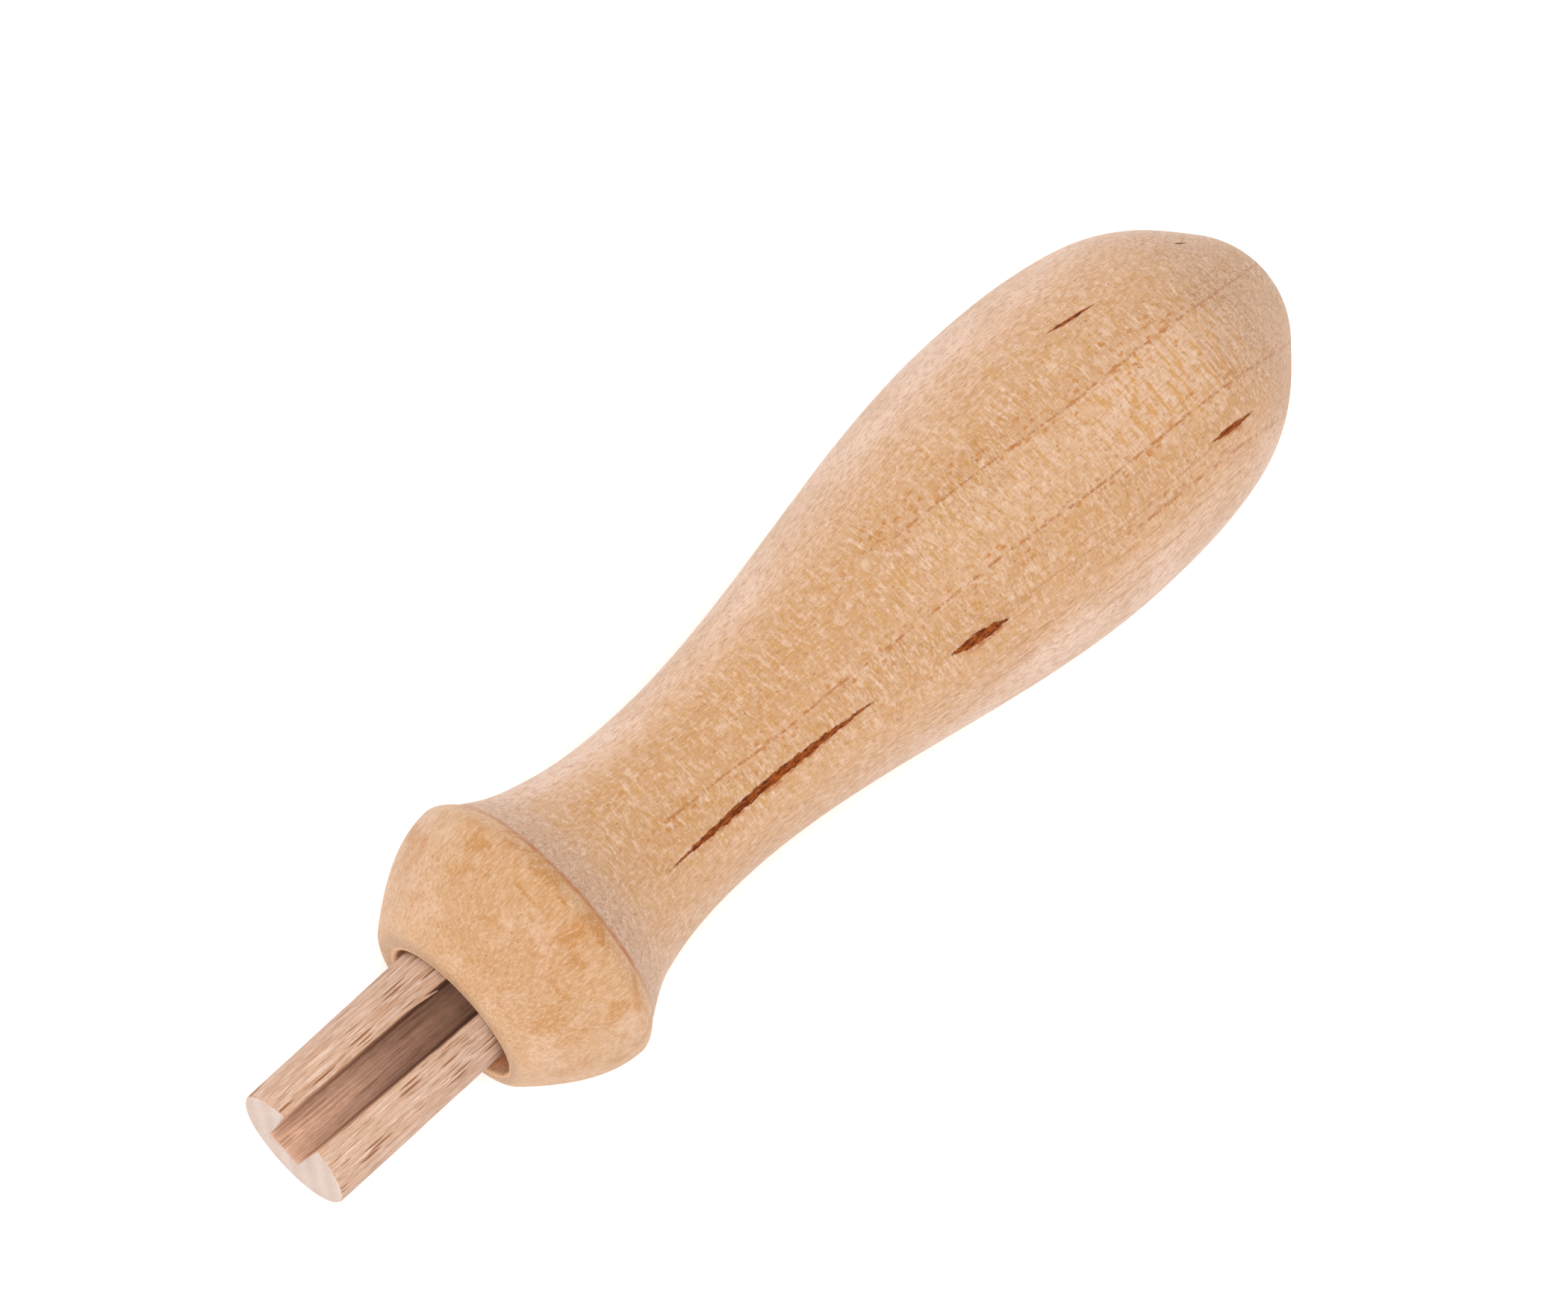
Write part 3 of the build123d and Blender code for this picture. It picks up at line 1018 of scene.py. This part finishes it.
LIGHT_COLOUR = (1.0, 0.985, 0.97)
LIGHT_AIM = (-0.04, 0.0, 0.0)
SURROUND_COLOUR = (1.0, 0.99, 0.985, 1.0)
SURROUND_STRENGTH = 0.45
# Name, place (m), size (m) and power (W)
SOFT_BOXES = (
    ("soft_box_overhead", (0.45, 0.0, 1.7), 0.8, 25.0),
    ("soft_box_left", (0.1, -1.4, 0.45), 0.9, 11.5),
    ("soft_box_right", (0.1, 1.4, 0.45), 0.9, 11.5),
    ("soft_box_front", (1.5, 0.0, 0.8), 0.9, 13.0),
    ("soft_box_back", (-1.6, 0.0, 0.9), 0.9, 18.0),
)


def area_light(name, place, size, power):
    """A square soft box aimed at the handle, which the camera doesn't see."""
    data = bpy.data.lights.new(name, "AREA")
    data.shape = "SQUARE"
    data.size = size
    data.energy = power
    data.color = LIGHT_COLOUR
    light = bpy.data.objects.new(name, data)
    light.location = place
    light.rotation_mode = "QUATERNION"
    light.rotation_quaternion = (Vector(LIGHT_AIM) - Vector(place)).to_track_quat("-Z", "Y")
    light.visible_camera = False
    bpy.context.scene.collection.objects.link(light)


def make_light():
    """An even white surround with soft boxes overhead, at both sides, in front and behind."""
    world = bpy.data.worlds.new("studio_surround")
    world.use_nodes = True
    background = next(node for node in world.node_tree.nodes if node.type == "BACKGROUND")
    background.inputs["Color"].default_value = SURROUND_COLOUR
    background.inputs["Strength"].default_value = SURROUND_STRENGTH
    bpy.context.scene.world = world
    for soft_box in SOFT_BOXES:
        area_light(*soft_box)


# The photograph's viewing angle (radians, m, mm of lens): from above, tilted towards the dowel's
# end, and rolled so that the handle runs up to the right
VIEW_TILT = 0.2635
VIEW_ROLL = math.radians(42.1)
VIEW_DISTANCE = 3.0112
VIEW_AIM = Vector((-0.0430, -0.0029, 0.0))
VIEW_LENS = 805.9


def make_camera():
    """A long lens at the photograph's angle, with +X towards the lower left of the picture."""
    back = Vector((math.sin(VIEW_TILT), 0.0, math.cos(VIEW_TILT)))
    towards_butt = Vector((-math.cos(VIEW_TILT), 0.0, math.sin(VIEW_TILT)))
    sideways = Vector((0.0, 1.0, 0.0))
    right = towards_butt * math.cos(VIEW_ROLL) + sideways * math.sin(VIEW_ROLL)
    up = towards_butt * math.sin(VIEW_ROLL) - sideways * math.cos(VIEW_ROLL)
    data = bpy.data.cameras.new("photo_view")
    data.lens = VIEW_LENS
    data.sensor_width = 36.0
    data.clip_start = 0.1
    data.clip_end = 30.0
    camera = bpy.data.objects.new("photo_view", data)
    turn = Matrix((right, up, back)).transposed().to_4x4()
    camera.matrix_world = Matrix.Translation(VIEW_AIM + back * VIEW_DISTANCE) @ turn
    bpy.context.scene.collection.objects.link(camera)
    bpy.context.scene.camera = camera


# ---------------------------------------------------------------------------------------------
# Assembly
# ---------------------------------------------------------------------------------------------
handle = make_handle(maple())
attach(handle, "handle")
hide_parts("turned_handle")

dowel = make_dowel(beech())
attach(dowel, "dowel")
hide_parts("slotted_dowel")

make_floor()
make_light()
make_camera()
bpy.context.scene.view_settings.view_transform = "Standard"
